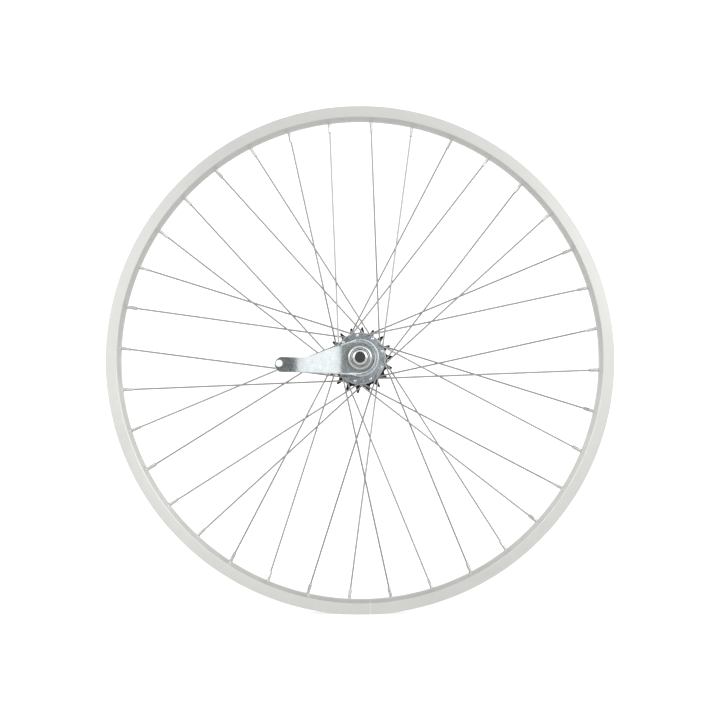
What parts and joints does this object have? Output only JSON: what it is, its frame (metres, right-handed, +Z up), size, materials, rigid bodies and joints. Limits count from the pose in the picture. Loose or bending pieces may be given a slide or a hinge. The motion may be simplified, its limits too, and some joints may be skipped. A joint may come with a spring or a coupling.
{
  "type": "bicycle wheel",
  "caption": "Bare spoked rear wheel with a back-pedal brake hub, brake arm and sprocket, ready for a tyre and a chain.",
  "frame": {"origin": "on the axle, in the rim's mid-plane, at the centre of the whole wheel's box", "axes": "+Z up, wheel axis along Y with +Y towards the sprocket side, -X towards the front of the bicycle, where the brake arm points"},
  "size_m": [0.6019, 0.154, 0.602],
  "materials": {
    "rim": "satin",
    "spokes": "drawn wire",
    "nipples": "nickel plated",
    "hub_shell": "zinc plated",
    "axle": "threaded",
    "axle_caps": "moulded",
    "brake_cone": "turned",
    "brake_shoe": "cast bronze",
    "clutch": "hardened",
    "driver": "hardened",
    "sprocket": "black",
    "snap_ring": "spring steel",
    "brake_arm": "zinc plated",
    "hardware": "zinc plated"
  },
  "bodies": {
    "base": {"axle": "axle", "axle_caps": "axle_caps", "brake_cone": "brake_cone", "dust_cap_left": "hardware", "arm_washer": "hardware", "lock_nut_left": "hardware", "right_cone": "hardware", "lock_nut_right": "hardware", "brake_arm": "brake_arm"},
    "wheel": {"rim": "rim", "hub_shell": "hub_shell", "spokes_left_outer": "spokes", "spokes_left_inner": "spokes", "spokes_right_outer": "spokes", "spokes_right_inner": "spokes", "nipples_left": "nipples", "nipples_right": "nipples"},
    "drive": {"driver": "driver", "sprocket": "sprocket", "snap_ring": "snap_ring"},
    "clutch": {"clutch": "clutch"},
    "shoe_top": {"brake_shoe_top": "brake_shoe"},
    "shoe_bottom": {"brake_shoe_bottom": "brake_shoe"}
  },
  "joints": [
    {"name": "wheel_spin", "type": "hinge", "parent": "base", "child": "wheel", "pos_m": [0, 0, 0], "axis": [0, 1, 0], "continuous": true},
    {"name": "sprocket_spin", "type": "hinge", "parent": "base", "child": "drive", "pos_m": [0, 0.041, 0], "axis": [0, 1, 0], "continuous": true},
    {"name": "clutch_slide", "type": "slide", "parent": "base", "child": "clutch", "axis": [0, 1, 0], "range_m": [-0.0015, 0.0015]},
    {"name": "shoe_top_press", "type": "slide", "parent": "base", "child": "shoe_top", "axis": [0, 0, 1], "range_m": [-0.0003, 0.0003]},
    {"name": "shoe_bottom_press", "type": "slide", "parent": "base", "child": "shoe_bottom", "axis": [0, 0, -1], "range_m": [-0.0003, 0.0003]}
  ],
  "couplings": [
    {"joint": "shoe_top_press", "follows": "clutch_slide", "ratio": -0.2},
    {"joint": "shoe_bottom_press", "follows": "clutch_slide", "ratio": -0.2}
  ]
}
